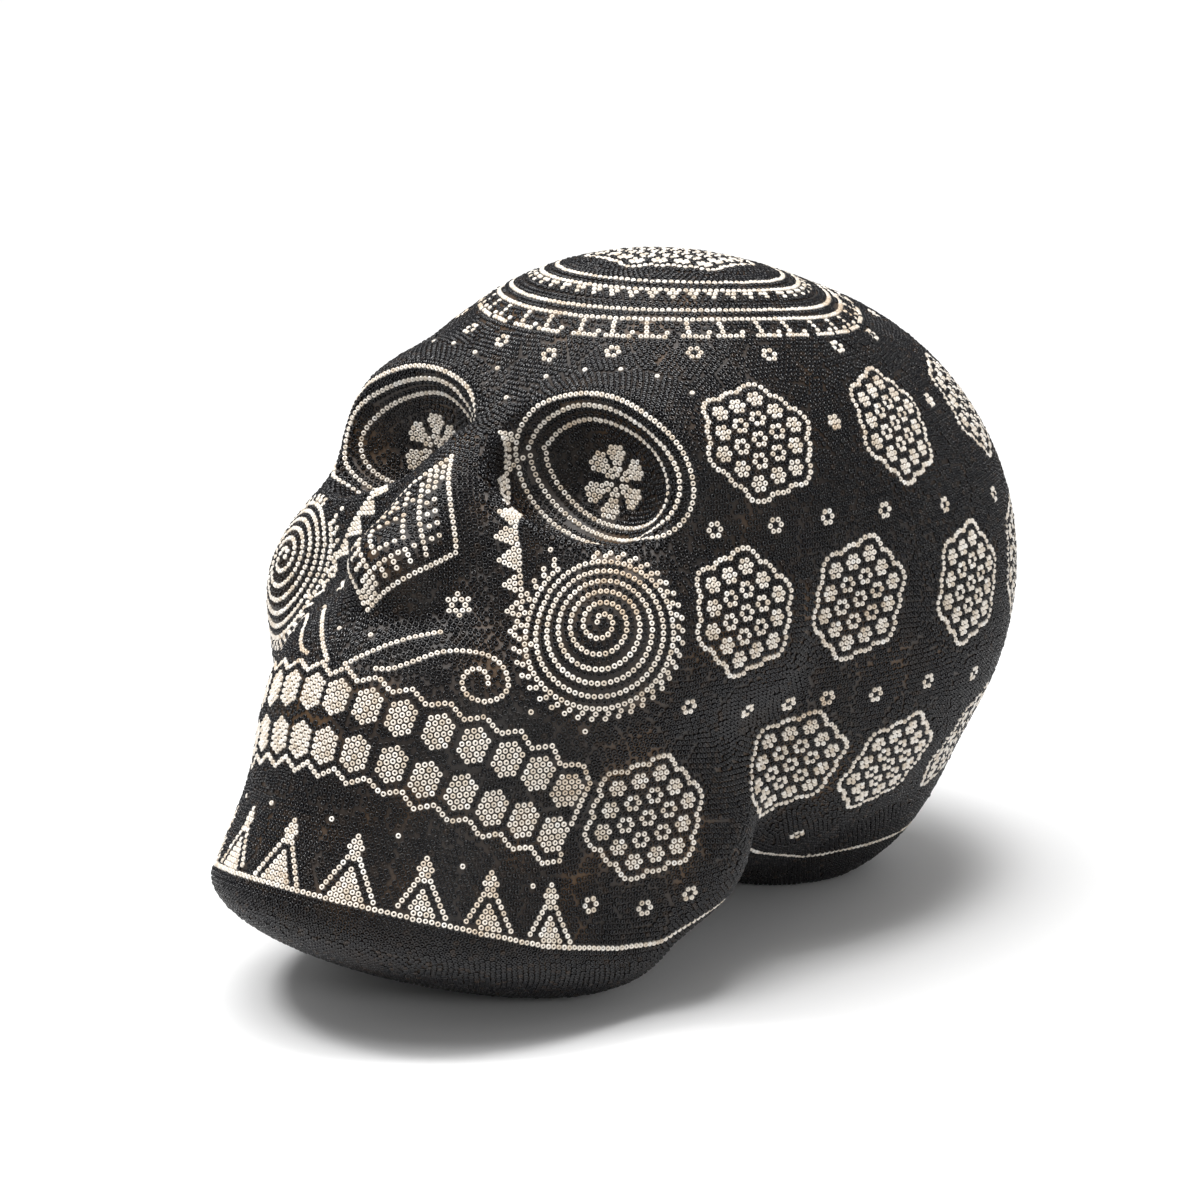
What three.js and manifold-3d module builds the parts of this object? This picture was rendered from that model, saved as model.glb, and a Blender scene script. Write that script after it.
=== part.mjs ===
// Beaded skull: a hollow cast skull form, a thin skin of wax over it, and one layer of glass
// seed beads pressed into the wax.  The bead layer is divided into the plates of one motif each.
// Millimetres, +Z up, the face looks toward -Y.  The form has coordinates of its own; the
// finished nodes are moved so that the length is centred on y = 0 and the floor is z = 0.
import * as THREE from 'three';
import { mergeVertices } from 'three/addons/utils/BufferGeometryUtils.js';
import Module from 'manifold-3d';

const wasm = await Module();
wasm.setup();

// ---- overall form -------------------------------------------------------------------------
const LENGTH_CENTRE = 8.6;       // middle of the form's length
const BLEND = 26;                // soft blend between the big volumes
const CRANIUM = { c: [0, 65, 134], r: [117, 135, 119] };
const OCCIPUT = { x: 6, y: 109, z: 58, r: 63 };
const FOREHEAD = { c: [0, 26, 173], r: [107, 90, 91] };
const TEMPLE = { x: 58, y: -10, z: 180, r: 39 };
const FACE = { c: [0, -47, 143], r: [99, 53, 67], tilt: 0.44 };
const MUZZLE = { c: [0, -98, 112], r: [57, 59, 50], tilt: 0.33 };
const BROW = { c: [46, -36, 197], r: [40, 35, 33] };
const CHEEK = { front: [70, -68, 141], rear: [80, -24, 141], rFront: 28, rRear: 26 };
const RAMUS = { top: [57, -69, 111], low: [61, -44, 64], rTop: 33, rLow: 38 };
const SOCKET = { c: [46, -66, 202], r: [38, 22, 30], tilt: 0.1 };
const NOSE = { top: [-72, 204], tip: [-112, 167], rTop: 3, rTip: 17, halfFlat: 3 };
const JAW = { y: -78, halfWidth: 83, front: 110, back: 48, depth: 30, taper: 0.0022, top: 95 };
const BASE_PLANE = { y: -52, z: 22, slope: 0.295 };   // tilted plane of the jaw's lower edge
const FLOOR = 2.5;                // height at which the form is cut flat to stand on

// ---- layers ---------------------------------------------------------------------------------
const BEAD_LAYER = 1.5;          // height of the bead layer
const LAYER_GAP = 0.3;
const WAX = 1.0;
const HOLLOW_DEPTH = 23;         // how far under the surface the hollow of the cast starts
const HOLLOW_SHARE = 0.2;        // and the share of the way to the middle it never passes
const VENT_RADIUS = 12;          // opening in the underside of the cast
const VENT_Y = 30;
const CUT_GAP = 0.3;             // gap between neighbouring bead plates

// ---- surface mesh ---------------------------------------------------------------------------
const CENTRE = [0, 30, 120];     // the form is star shaped about this point
const SPHERE_DETAIL = 6;
const CAVITY_DETAIL = 3;
const FACE_BIAS = 0.42;          // finer triangles toward the face
const REACH = 300;

const BLACK = 0x17171b;
const WHITE = 0xe2d6c4;
const WAX_BROWN = 0x4a3018;
const RESIN = 0xb8ab94;

// ---- motifs: places on the form, radii of the plates -----------------------------------------
const SIDES = 10;
const BASE_LINE_WIDTH = 2.4;
const BASE_LINE = [
  [-260, 95], [-181, 64.5], [-142, 50], [-121, 42], [-88, 34], [-65, 31], [-45, 37], [-20, 43],
  [4, 47], [26, 37], [60, 26], [REACH, 20],
];
const JAW_TRIANGLES = [[0, -181, 65], [28, -175, 63], [51, -159, 57], [66, -141, 50], [76, -120, 42]];
const TRIANGLE = { width: 21, height: 23 };
const CROWN = { centre: [0, 41, 255], radii: [38, 57, 67, 76] };
const EYE = {
  centre: [48, -56, 200.5],
  facing: [0.1, -1, 0.05],
  flowerCentre: [46, -56, 193.5],
  flower: 12,
  inner: 29,
  outer: 40,
  squash: 0.73,
};
const SPIRAL = { centre: [77, -93, 158], radius: 29 };
const STAR = { centre: [28, -112, 158], radius: 7 };
const DIAMOND = { centre: [0, -108, 179.5], facing: [0, -0.7, 0.71], halfWidth: 23, halfHeight: 36 };
const RIBBON = {
  line: [
    [9, -90, 212], [10, -90, 193], [20, -90, 187], [36, -90, 182], [44, -90, 165], [50, -90, 152],
    [60, -90, 140],
  ],
  half: 4,
};
const SCROLL = {
  facing: [0.65, -0.55, 0.5],
  line: [[17, -145, 138], [28, -134, 142], [37, -121, 144], [45, -114, 141]],
  half: 3,
  curl: [48, -116, 134],
  radius: 9,
};
const BITE = { end: -98, z: 81.3, slope: 0.675, reach: 15 };   // tilted plane between the rows
const ROW_REACH = 140;
const ROSETTE_RADIUS = 24.5;
const JAW_ROSETTE = [88, -78, 82];
const ROSETTES = {
  upper: [[92, -18, 210], [100, 53, 208], [79, 128, 202], [34, 168, 198]],
  middle: [[105, -43, 154], [112, 16, 149], [116, 83, 143], [95, 142, 140], [42, 188, 138]],
  lower: [[92, 2, 84], [99, 52, 76], [88, 112, 72], [42, 158, 66]],
};

// ---- signed distance helpers ----------------------------------------------------------------
const clamp01 = (v) => Math.min(Math.max(v, 0), 1);

function softMin(a, b, k) {
  const h = clamp01(0.5 + 0.5 * (b - a) / k);
  return b * (1 - h) + a * h - k * h * (1 - h);
}

const softMax = (a, b, k) => -softMin(-a, -b, k);

function turn(u, v, angle) {
  const c = Math.cos(angle);
  const s = Math.sin(angle);
  return [u * c + v * s, v * c - u * s];
}

function ellipsoid(p, c, r, tilt = 0) {
  const x = p[0] - c[0];
  let [y, z] = [p[1] - c[1], p[2] - c[2]];
  [y, z] = turn(y, z, tilt);
  const k0 = Math.hypot(x / r[0], y / r[1], z / r[2]);
  const k1 = Math.hypot(x / r[0] ** 2, y / r[1] ** 2, z / r[2] ** 2);
  return k0 * (k0 - 1) / Math.max(k1, 1e-9);
}

function capsule(p, a, b, ra, rb) {
  const ab = b.map((v, i) => v - a[i]);
  const ap = p.map((v, i) => v - a[i]);
  const dot = ab[0] * ap[0] + ab[1] * ap[1] + ab[2] * ap[2];
  const t = clamp01(dot / (ab[0] ** 2 + ab[1] ** 2 + ab[2] ** 2));
  return Math.hypot(...ap.map((v, i) => v - t * ab[i])) - (ra + (rb - ra) * t);
}

// The lower jaw: a flared half-oval wall standing on a tilted base plane, domed below it.
function jaw(p) {
  const baseZ = BASE_PLANE.z - BASE_PLANE.slope * (JAW.y - BASE_PLANE.y);
  const [y, z] = turn(p[1] - JAW.y, p[2] - baseZ, -Math.atan(BASE_PLANE.slope));
  const ry = y < 0 ? JAW.front : JAW.back;
  const rx = JAW.halfWidth;
  const below = Math.min(z, 0);
  const k0 = Math.hypot(p[0] / rx, y / ry, below / JAW.depth);
  const k1 = Math.hypot(p[0] / rx ** 2, y / ry ** 2, below / JAW.depth ** 2);
  const size = 1 - JAW.taper * Math.max(z, 0);
  const inner = -0.6 * JAW.depth;
  const wall = k0 < 0.3 ? inner : k0 * (k0 - size) / Math.max(k1, 1e-6);
  return softMax(wall, z - JAW.top, 25);
}

function noseRidge(p) {
  const flat = [Math.max(p[0] - NOSE.halfFlat, 0), p[1], p[2]];
  return capsule(flat, [0, ...NOSE.top], [0, ...NOSE.tip], NOSE.rTop, NOSE.rTip);
}

// Distance to the finished surface of the skull, both halves alike.
function skull(point) {
  const p = [Math.sqrt(point[0] ** 2 + 1), point[1], point[2]];
  const { x, y, z, r } = OCCIPUT;
  const t = TEMPLE;
  let f = ellipsoid(p, CRANIUM.c, CRANIUM.r);
  f = softMin(f, capsule(p, [0, y, z], [x, y, z], r, r), BLEND);
  f = softMin(f, ellipsoid(p, FOREHEAD.c, FOREHEAD.r), BLEND);
  f = softMin(f, capsule(p, [0, t.y, t.z], [t.x, t.y, t.z], t.r, t.r), BLEND);
  f = softMin(f, ellipsoid(p, FACE.c, FACE.r, FACE.tilt), BLEND);
  f = softMin(f, ellipsoid(p, MUZZLE.c, MUZZLE.r, MUZZLE.tilt), BLEND);
  f = softMin(f, jaw(p), BLEND * 0.8);
  f = softMin(f, capsule(p, RAMUS.top, RAMUS.low, RAMUS.rTop, RAMUS.rLow), BLEND);
  f = softMin(f, ellipsoid(p, BROW.c, BROW.r), 16);
  f = softMin(f, capsule(p, CHEEK.front, CHEEK.rear, CHEEK.rFront, CHEEK.rRear), 20);
  f = softMax(f, -ellipsoid(p, SOCKET.c, SOCKET.r, SOCKET.tilt), 9);
  return softMin(f, noseRidge(p), 14);
}

// ---- meshes of the form ---------------------------------------------------------------------
const along = (o, d, t) => [o[0] + d[0] * t, o[1] + d[1] * t, o[2] + d[2] * t];

function surfaceDistance(d) {
  let hi = REACH;
  while (skull(along(CENTRE, d, hi)) > 0) hi -= 4;
  let lo = hi;
  hi += 4;
  for (let i = 0; i < 24; i += 1) {
    const mid = (lo + hi) / 2;
    if (skull(along(CENTRE, d, mid)) > 0) hi = mid;
    else lo = mid;
  }
  return lo;
}

function gradient(p) {
  const h = 0.5;
  const g = [0, 1, 2].map((axis) => {
    const a = [...p];
    const b = [...p];
    a[axis] += h;
    b[axis] -= h;
    return skull(a) - skull(b);
  });
  const n = Math.hypot(...g);
  return g.map((v) => v / n);
}

function sphere(detail) {
  const g = new THREE.IcosahedronGeometry(1, detail);
  g.deleteAttribute('normal');
  g.deleteAttribute('uv');
  return mergeVertices(g, 1e-5);
}

// Points and outward normals of the finished surface on one shared set of triangles.
function surfaceGrid(detail) {
  const g = sphere(detail);
  const at = g.getAttribute('position');
  const points = [];
  const normals = [];
  for (let i = 0; i < at.count; i += 1) {
    const v = new THREE.Vector3(at.getX(i), at.getY(i) - FACE_BIAS, at.getZ(i)).normalize();
    const d = v.toArray();
    const p = along(CENTRE, d, surfaceDistance(d));
    points.push(p);
    normals.push(gradient(p));
  }
  return { points, normals, index: Uint32Array.from(g.getIndex().array) };
}

// The closed body that lies the given depth under the finished surface, flat where it stands.
function bodyAt(grid, depth) {
  const xyz = grid.points.flatMap((p, i) => along(p, grid.normals[i], -depth));
  const mesh = new wasm.Mesh({
    numProp: 3,
    vertProperties: Float32Array.from(xyz),
    triVerts: grid.index,
  });
  return new wasm.Manifold(mesh).trimByPlane([0, 0, 1], FLOOR + depth);
}

// The hollow of the cast, rounder than the outside.
function cavity() {
  const g = sphere(CAVITY_DETAIL);
  const at = g.getAttribute('position');
  const xyz = [];
  for (let i = 0; i < at.count; i += 1) {
    const d = new THREE.Vector3().fromBufferAttribute(at, i).normalize().toArray();
    const reach = surfaceDistance(d);
    xyz.push(...along(CENTRE, d, reach - Math.min(HOLLOW_DEPTH, reach * HOLLOW_SHARE)));
  }
  const triVerts = Uint32Array.from(g.getIndex().array);
  const vertProperties = Float32Array.from(xyz);
  return new wasm.Manifold(new wasm.Mesh({ numProp: 3, vertProperties, triVerts }));
}

// ---- cutters --------------------------------------------------------------------------------
function toManifold(geometry) {
  const g = geometry.clone();
  g.deleteAttribute('normal');
  g.deleteAttribute('uv');
  const m = mergeVertices(g, 1e-4);
  return new wasm.Manifold(new wasm.Mesh({
    numProp: 3,
    vertProperties: Float32Array.from(m.getAttribute('position').array),
    triVerts: Uint32Array.from(m.getIndex().array),
  }));
}

// The point of the surface nearest the seed, with the direction the surface faces there.
function seat(seed) {
  let p = [...seed];
  for (let i = 0; i < 6; i += 1) p = along(p, gradient(p), -skull(p));
  return { centre: p, facing: gradient(p) };
}

function frame(facing) {
  const z = new THREE.Vector3(...facing).normalize();
  const x = new THREE.Vector3(0, 0, 1).cross(z);
  if (x.lengthSq() < 0.01) x.set(1, 0, 0);
  x.normalize();
  return { x, y: z.clone().cross(x), z };
}

// A flat outline made solid along the direction it faces, centred on a point of the surface.
function prism(outline, { centre, facing }, reach) {
  const shape = new THREE.Shape(outline.map(([u, v]) => new THREE.Vector2(u, v)));
  const g = new THREE.ExtrudeGeometry(shape, { depth: 2 * reach, bevelEnabled: false });
  const { x, y, z } = frame(facing);
  g.translate(0, 0, -reach);
  g.applyMatrix4(new THREE.Matrix4().makeBasis(x, y, z).setPosition(...centre));
  return toManifold(g);
}

function ovalOutline(radius, squash) {
  return Array.from({ length: SIDES }, (_, i) => {
    const a = (i + 0.5) * 2 * Math.PI / SIDES;
    return [radius * Math.cos(a), radius * squash * Math.sin(a)];
  });
}

const disc = (radius, at, reach = 16, squash = 1) => (gap) => (
  prism(ovalOutline(radius + gap, squash), at, reach)
);

const annulus = (inner, outer, at, reach, squash = 1) => (gap) => (
  disc(outer, at, reach, squash)(gap).subtract(disc(inner, at, reach + 1, squash)(-gap))
);

// A strip of the given half width along a line of points, cut in the direction it faces.
const strip = (points, half, facing, reach) => (gap) => {
  const { x, y } = frame(facing);
  const centre = points[Math.floor(points.length / 2)];
  const flat = points.map((p) => {
    const v = new THREE.Vector3(...p).sub(new THREE.Vector3(...centre));
    return [v.dot(x), v.dot(y)];
  });
  const left = [];
  const right = [];
  flat.forEach(([u, v], i) => {
    const a = flat[Math.max(i - 1, 0)];
    const b = flat[Math.min(i + 1, flat.length - 1)];
    const k = (half + gap) / Math.hypot(b[0] - a[0], b[1] - a[1]);
    const n = [(a[1] - b[1]) * k, (b[0] - a[0]) * k];
    left.push([u + n[0], v + n[1]]);
    right.unshift([u - n[0], v - n[1]]);
  });
  return prism([...left, ...right], { centre, facing }, reach);
};

// One half of a row of teeth: everything between two heights over the bite plane.
const toothRow = (low, high, side) => (gap) => {
  const height = high - low + 2 * gap;
  const inner = CUT_GAP / 2 - gap;
  const g = new THREE.BoxGeometry(120, ROW_REACH, height);
  g.translate(side * (60 + inner), gap - ROW_REACH / 2, (low + high) / 2);
  g.rotateX(-Math.atan(BITE.slope));
  g.translate(0, BITE.end, BITE.z);
  return toManifold(g);
};

// A solid right across the skull with the given outline of [y, z] points.
function crossPrism(outline) {
  const shape = new THREE.Shape(outline.map(([y, z]) => new THREE.Vector2(y, z)));
  const g = new THREE.ExtrudeGeometry(shape, { depth: 2 * REACH, bevelEnabled: false });
  g.translate(0, 0, -REACH);
  g.applyMatrix4(new THREE.Matrix4().makeBasis(
    new THREE.Vector3(0, 1, 0), new THREE.Vector3(0, 0, 1), new THREE.Vector3(1, 0, 0),
  ));
  return toManifold(g);
}

const lift = (line, dz) => line.map(([y, z]) => [y, z + dz]);

const baseStrip = (gap) => {
  const half = BASE_LINE_WIDTH / 2 + gap;
  return crossPrism([...lift(BASE_LINE, -half), ...lift(BASE_LINE, half).reverse()]);
};

function belowBaseLine() {
  const edge = lift(BASE_LINE, -BASE_LINE_WIDTH / 2 - CUT_GAP);
  return crossPrism([[-REACH, -40], [REACH, -40], ...edge.reverse()]);
}

// ---- motifs ---------------------------------------------------------------------------------
const mirror = ([x, y, z], side) => [side * x, y, z];

function jawTriangles(gap) {
  const seats = JAW_TRIANGLES.flatMap((p) => (p[0] === 0 ? [p] : [p, mirror(p, -1)]));
  return seats.map((p) => {
    const at = seat(p);
    at.facing[2] = 0;
    const w = TRIANGLE.width / 2 + gap;
    return prism([[-w, -1], [w, -1], [0, TRIANGLE.height + gap]], at, 12);
  });
}

function baseLineCutter(gap) {
  return wasm.Manifold.union([baseStrip(gap), ...jawTriangles(gap)]);
}

function eyeMotifs(side, tag) {
  const at = { centre: mirror(EYE.centre, side), facing: mirror(EYE.facing, side) };
  const flowerAt = { centre: mirror(EYE.flowerCentre, side), facing: at.facing };
  return [
    [`eye_flower_${tag}`, disc(EYE.flower, flowerAt, 24), WHITE],
    [`eye_bowl_${tag}`, disc(EYE.inner - CUT_GAP, at, 26, EYE.squash), BLACK],
    [`eye_rings_${tag}`, annulus(EYE.inner, EYE.outer, at, 26, EYE.squash), WHITE],
  ];
}

function moustache(side) {
  const facing = mirror(SCROLL.facing, side);
  const line = SCROLL.line.map((p) => mirror(p, side));
  const curl = { centre: mirror(SCROLL.curl, side), facing };
  return (gap) => strip(line, SCROLL.half, facing, 14)(gap)
    .add(disc(SCROLL.radius, curl, 14)(gap));
}

function ribbon(side) {
  const line = RIBBON.line.map((p) => mirror(p, side));
  return strip(line, RIBBON.half, [0, -1, 0], 32);
}

function faceMotifs(side) {
  const tag = side > 0 ? 'left' : 'right';
  const spiral = seat(mirror(SPIRAL.centre, side));
  return [
    [`ribbon_${tag}`, ribbon(side), WHITE],
    ...eyeMotifs(side, tag),
    [`cheek_spiral_${tag}`, disc(SPIRAL.radius, spiral), WHITE],
    [`moustache_scroll_${tag}`, moustache(side), WHITE],
    [`cheek_star_${tag}`, disc(STAR.radius, seat(mirror(STAR.centre, side)), 8), WHITE],
    [`teeth_upper_${tag}`, toothRow(CUT_GAP / 2, BITE.reach, side), WHITE],
    [`teeth_lower_${tag}`, toothRow(-BITE.reach, -CUT_GAP / 2, side), WHITE],
    [`jaw_rosette_${tag}`, disc(ROSETTE_RADIUS, seat(mirror(JAW_ROSETTE, side))), WHITE],
  ];
}

function sideRosettes(side) {
  const tag = side > 0 ? 'left' : 'right';
  return Object.entries(ROSETTES).flatMap(([row, centres]) => centres.map((c, i) => (
    [`rosette_${row}_${tag}_${i + 1}`, disc(ROSETTE_RADIUS, seat(mirror(c, side))), WHITE]
  )));
}

function crownMotifs() {
  const at = { centre: CROWN.centre, facing: [0, 0, 1] };
  const [r0, r1, r2, r3] = CROWN.radii;
  return [
    ['crown_rosette', disc(r0, at, 30), WHITE],
    ['crown_sawtooth', annulus(r0 + CUT_GAP, r1, at, 30), WHITE],
    ['crown_lines', annulus(r1 + CUT_GAP, r2, at, 30), WHITE],
    ['crown_frets', annulus(r2 + CUT_GAP, r3, at, 30), WHITE],
  ];
}

function motifs() {
  const diamond = (gap) => {
    const [u, v] = [DIAMOND.halfWidth + gap * 1.2, DIAMOND.halfHeight + gap * 1.6];
    return prism([[0, -v], [u, 0], [0, v], [-u, 0]], DIAMOND, 18);
  };
  return [
    ['base_line', baseLineCutter, WHITE],
    ['nose_diamond', diamond, WHITE],
    ...crownMotifs(),
    ...[1, -1].flatMap(faceMotifs),
    ...[1, -1].flatMap(sideRosettes),
  ];
}

// ---- assembly -------------------------------------------------------------------------------
function toNode(name, body, colour, roughness) {
  const mesh = body.getMesh();
  const g = new THREE.BufferGeometry();
  g.setAttribute('position', new THREE.BufferAttribute(Float32Array.from(mesh.vertProperties), 3));
  g.setIndex(new THREE.BufferAttribute(Uint32Array.from(mesh.triVerts), 1));
  g.translate(0, -LENGTH_CENTRE, -FLOOR);
  const flat = g.toNonIndexed();
  flat.computeVertexNormals();
  const material = new THREE.MeshStandardMaterial({ color: colour, roughness, metalness: 0 });
  const node = new THREE.Mesh(flat, material);
  node.name = name;
  return node;
}

// The largest connected body, leaving behind slivers cut off at the edges of a plate.
function mainBody(body) {
  const parts = body.decompose();
  return parts.reduce((a, b) => (a.volume() > b.volume() ? a : b));
}

function vent() {
  const g = new THREE.CylinderGeometry(VENT_RADIUS, VENT_RADIUS, 100, 16);
  g.rotateX(Math.PI / 2);
  g.translate(0, VENT_Y, 20);
  return toManifold(g);
}

function build() {
  const grid = surfaceGrid(SPHERE_DETAIL);
  const opening = vent();
  const group = new THREE.Group();
  const put = (...entry) => group.add(toNode(...entry));

  const castDepth = BEAD_LAYER + 2 * LAYER_GAP + WAX;
  put('cast_form', bodyAt(grid, castDepth).subtract(cavity()).subtract(opening), RESIN, 0.8);

  const waxOuter = bodyAt(grid, BEAD_LAYER + LAYER_GAP);
  const waxInner = bodyAt(grid, BEAD_LAYER + LAYER_GAP + WAX);
  put('wax_skin', waxOuter.subtract(waxInner).subtract(opening), WAX_BROWN, 0.6);

  let layer = bodyAt(grid, 0).subtract(bodyAt(grid, BEAD_LAYER)).subtract(opening);
  motifs().forEach(([name, cutter, colour]) => {
    put(name, mainBody(layer.intersect(cutter(0))), colour, 0.3);
    layer = layer.subtract(cutter(CUT_GAP));
  });

  const under = belowBaseLine();
  put('ground_under', mainBody(layer.intersect(under)), BLACK, 0.3);
  put('ground_upper', mainBody(layer.subtract(under)), BLACK, 0.3);
  return group;
}

export default build();
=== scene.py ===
"""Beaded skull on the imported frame: a wax skin with a layer of glass seed beads pressed into it.

Places are in the form's own millimetres, as in the part; in_frame() moves them to the frame.
The face looks toward -Y and the skull's own left is +X."""
import math

import bpy
import numpy as np
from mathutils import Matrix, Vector


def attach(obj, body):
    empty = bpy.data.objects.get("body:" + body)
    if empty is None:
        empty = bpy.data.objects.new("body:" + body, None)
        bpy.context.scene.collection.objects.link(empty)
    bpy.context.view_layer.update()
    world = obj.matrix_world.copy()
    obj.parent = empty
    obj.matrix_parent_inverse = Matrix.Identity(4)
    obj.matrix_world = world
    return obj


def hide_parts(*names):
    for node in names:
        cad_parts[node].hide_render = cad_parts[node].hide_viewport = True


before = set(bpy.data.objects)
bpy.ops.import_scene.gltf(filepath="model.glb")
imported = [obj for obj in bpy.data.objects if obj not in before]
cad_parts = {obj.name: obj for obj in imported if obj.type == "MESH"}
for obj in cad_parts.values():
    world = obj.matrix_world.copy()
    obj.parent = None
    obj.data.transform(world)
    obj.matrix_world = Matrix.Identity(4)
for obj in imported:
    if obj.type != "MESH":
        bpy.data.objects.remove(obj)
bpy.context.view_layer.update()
rng = np.random.default_rng(11)

# ---- the form ------------------------------------------------------------------------------
LENGTH_CENTRE, FLOOR = 8.6, 2.5
BLEND = 26
VENT_RADIUS, VENT_Y = 12, 30
LOW, HIGH = (-128, -200, -6), (128, 206, 274)      # a box that holds the form

# ---- beads ---------------------------------------------------------------------------------
PITCH = 2.4            # between beads of a motif
OUTLINE_PITCH = 2.35   # between beads of the fine lines
FILL_PITCH = 2.24      # between beads of the black ground
HEIGHT = 1.5
WAX_DEPTH = 0.85       # the wax lies this far under the tops of the beads
WAX = 1.0              # thickness of the wax skin in the visual model
CAST_DEPTH, CAST_WALL = 3.0, 6.0    # the cast form: how deep it starts, and its wall
IVORY_BEAD = [(0.62, 0.03), (1.0, 0.35), (1.05, 0.95), (0.78, 1.46), (0.47, 1.25), (0.42, 0.35)]
BLACK_BEAD = [(0.86, 0.12), (1.0, 0.95), (0.68, 1.47), (0.38, 0.7)]
MAX_BEADS = {"ivory": 1600, "black": 3000}          # in one piece


def soft_min(a, b, k):
    h = np.clip(0.5 + 0.5 * (b - a) / k, 0, 1)
    return b * (1 - h) + a * h - k * h * (1 - h)


def soft_max(a, b, k):
    return -soft_min(-a, -b, k)


def turned(u, v, angle):
    c, s = math.cos(angle), math.sin(angle)
    return u * c + v * s, v * c - u * s


def ellipsoid(x, y, z, c, r, tilt=0.0):
    x, y, z = x - c[0], y - c[1], z - c[2]
    y, z = turned(y, z, tilt)
    k0 = np.sqrt((x / r[0]) ** 2 + (y / r[1]) ** 2 + (z / r[2]) ** 2)
    k1 = np.sqrt((x / r[0] ** 2) ** 2 + (y / r[1] ** 2) ** 2 + (z / r[2] ** 2) ** 2)
    return k0 * (k0 - 1) / np.maximum(k1, 1e-9)


def capsule(x, y, z, a, b, ra, rb):
    a, b = np.array(a, float), np.array(b, float)
    ab = b - a
    x, y, z = x - a[0], y - a[1], z - a[2]
    t = np.clip((x * ab[0] + y * ab[1] + z * ab[2]) / (ab @ ab), 0, 1)
    gap = np.sqrt((x - t * ab[0]) ** 2 + (y - t * ab[1]) ** 2 + (z - t * ab[2]) ** 2)
    return gap - (ra + (rb - ra) * t)


def jaw(x, y, z):
    """The lower jaw: a flared half-oval wall on a tilted base plane, domed below it."""
    y, z = turned(y + 78, z - (22 + 0.295 * 26), -math.atan(0.295))
    ry = np.where(y < 0, 110.0, 48.0)
    below = np.minimum(z, 0)
    k0 = np.sqrt((x / 83) ** 2 + (y / ry) ** 2 + (below / 30) ** 2)
    k1 = np.sqrt((x / 83**2) ** 2 + (y / ry**2) ** 2 + (below / 30**2) ** 2)
    wall = k0 * (k0 - 1 + 0.0022 * np.maximum(z, 0)) / np.maximum(k1, 1e-6)
    return soft_max(np.where(k0 < 0.3, -18.0, wall), z - 95, 25)


def skull(p):
    """Distance to the finished surface, both halves alike."""
    x, y, z = np.sqrt(p[:, 0] ** 2 + 1), p[:, 1], p[:, 2]
    at = (x, y, z)
    f = ellipsoid(*at, (0, 65, 134), (117, 135, 119))
    f = soft_min(f, capsule(*at, (0, 109, 58), (6, 109, 58), 63, 63), BLEND)
    f = soft_min(f, ellipsoid(*at, (0, 26, 173), (107, 90, 91)), BLEND)
    f = soft_min(f, capsule(*at, (0, -10, 180), (58, -10, 180), 39, 39), BLEND)
    f = soft_min(f, ellipsoid(*at, (0, -47, 143), (99, 53, 67), 0.44), BLEND)
    f = soft_min(f, ellipsoid(*at, (0, -98, 112), (57, 59, 50), 0.33), BLEND)
    f = soft_min(f, jaw(*at), BLEND * 0.8)
    f = soft_min(f, capsule(*at, (57, -69, 111), (61, -44, 64), 33, 38), BLEND)
    f = soft_min(f, ellipsoid(*at, (46, -36, 197), (40, 35, 33)), 16)
    f = soft_min(f, capsule(*at, (70, -68, 141), (80, -24, 141), 28, 26), 20)
    f = soft_max(f, -ellipsoid(*at, (46, -66, 202), (38, 22, 30), 0.1), 9)
    ridge = (np.maximum(x - 3, 0), y, z)
    f = soft_min(f, capsule(*ridge, (0, -72, 204), (0, -112, 167), 3, 17), 14)
    return soft_max(f, FLOOR - z, 2)


CORNERS = np.array([[1, -1, -1], [-1, -1, 1], [-1, 1, -1], [1, 1, 1]], float)


def probe(p, h=0.3):
    """Distance to the surface and the direction it faces, from four samples round each point."""
    near = [skull(p + h * k) for k in CORNERS]
    n = sum(k * f[:, None] for k, f in zip(CORNERS, near))
    return sum(near) / 4, n / np.maximum(np.linalg.norm(n, axis=1), 1e-9)[:, None]


def settle(p, steps=3):
    """The nearest points of the surface."""
    p = np.array(p, float).reshape(-1, 3)
    for _ in range(steps):
        f, n = probe(p)
        p = p - n * np.clip(f, -6, 6)[:, None]
    return p


def cast(p, direction, steps=70):
    """Where rays from outside first meet the surface, marched a little short of each gap."""
    p, d = np.array(p, float), np.array(direction, float)
    for _ in range(steps):
        p = p + d * np.clip(skull(p), -4, 12)[:, None] * 0.7
    return settle(p, 2)


def unit(v):
    return v / np.maximum(np.linalg.norm(v, axis=-1, keepdims=True), 1e-9)


def walk(start, heading, distance):
    """Goes along the surface from each start, straight ahead, for its own distance."""
    p, d = start.copy(), heading.copy()
    steps = max(1, math.ceil(distance.max() / 1.6))
    for _ in range(steps):
        p = p + d * (distance / steps)[:, None]
        f, n = probe(p)
        p = p - n * f[:, None]
        d = unit(d - n * (d * n).sum(1, keepdims=True))
    return settle(p, 1)


def lay(seed, cells, up=(0, 0, 1)):
    """Lays a flat pattern of [across, up] places on the surface round the seed."""
    cells = np.array(cells, float).reshape(-1, 2)
    centre = settle(seed)
    n = probe(centre)[1]
    v = np.array(up, float) - n * (n @ np.array(up, float))[:, None]
    v = unit(v)
    u = np.cross(v, n)
    far = np.linalg.norm(cells, axis=1)
    heading = unit(cells[:, :1] * u + cells[:, 1:] * v + 1e-9 * v)
    return walk(np.repeat(centre, len(cells), 0), heading, far)


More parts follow.
